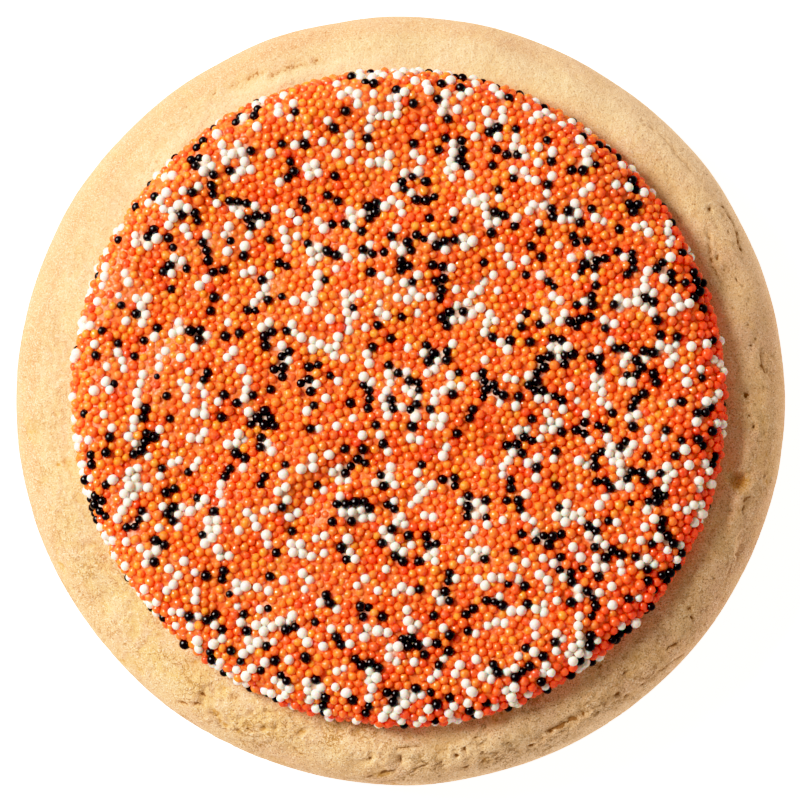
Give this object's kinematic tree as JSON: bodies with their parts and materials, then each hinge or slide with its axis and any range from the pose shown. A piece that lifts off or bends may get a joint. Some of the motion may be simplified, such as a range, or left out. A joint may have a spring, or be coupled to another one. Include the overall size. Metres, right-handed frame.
{
  "type": "sprinkle cookie",
  "caption": "Round thick sugar cookie with a raised disc of icing covered all over in tiny round sprinkles; food that rests on its flat underside.",
  "frame": {"origin": "middle of the flat underside", "axes": "+Z up out of the iced top; seen from above, +X is to the right and +Y is up"},
  "size_m": [0.1001, 0.1002, 0.0219],
  "materials": {
    "dough": "matt pale baked sugar dough with fine crumb and small cracks",
    "icing": "soft orange icing under satin sugar beads, most of them orange, some white and some black"
  },
  "bodies": {
    "root": {"cookie": "dough", "icing": "icing"}
  },
  "joints": []
}
